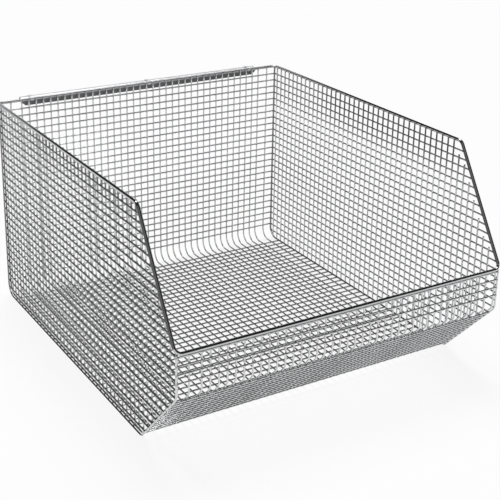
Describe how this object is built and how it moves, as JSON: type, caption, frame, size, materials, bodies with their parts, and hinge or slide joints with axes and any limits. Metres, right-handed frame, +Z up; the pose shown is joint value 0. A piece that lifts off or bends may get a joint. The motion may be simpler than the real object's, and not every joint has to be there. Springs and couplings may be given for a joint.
{
  "type": "retail dump bin",
  "caption": "Welded wire mesh bin with a sloped hopper front, a low front lip, a heavy wire round its mouth and a folded rail at the back that hooks over a bar.",
  "frame": {"origin": "on the ground under the middle of the bin's bounding box", "axes": "+X across the bin to its right side as seen from the front, +Y from the low front lip to the high back, +Z up"},
  "size_m": [0.426, 0.4994, 0.271],
  "materials": {
    "mesh_wire": "bright plated wire",
    "rim_wire": "bright plated heavy wire",
    "rail": "bright plated folded sheet",
    "clips": "bright plated strap"
  },
  "bodies": {
    "root": {"sheet_long_wires": "mesh_wire", "left_outer_long_wire": "mesh_wire", "right_outer_long_wire": "mesh_wire", "left_corner_wire": "mesh_wire", "right_corner_wire": "mesh_wire", "back_cross_wires": "mesh_wire", "floor_cross_wires": "mesh_wire", "slope_cross_wires": "mesh_wire", "lip_cross_wires": "mesh_wire", "left_tall_uprights": "mesh_wire", "left_short_uprights": "mesh_wire", "left_level_wires": "mesh_wire", "right_tall_uprights": "mesh_wire", "right_short_uprights": "mesh_wire", "right_level_wires": "mesh_wire", "rim_wire": "rim_wire", "hanging_rail": "rail", "left_rail_clip": "clips", "middle_rail_clip": "clips", "right_rail_clip": "clips"}
  },
  "joints": []
}
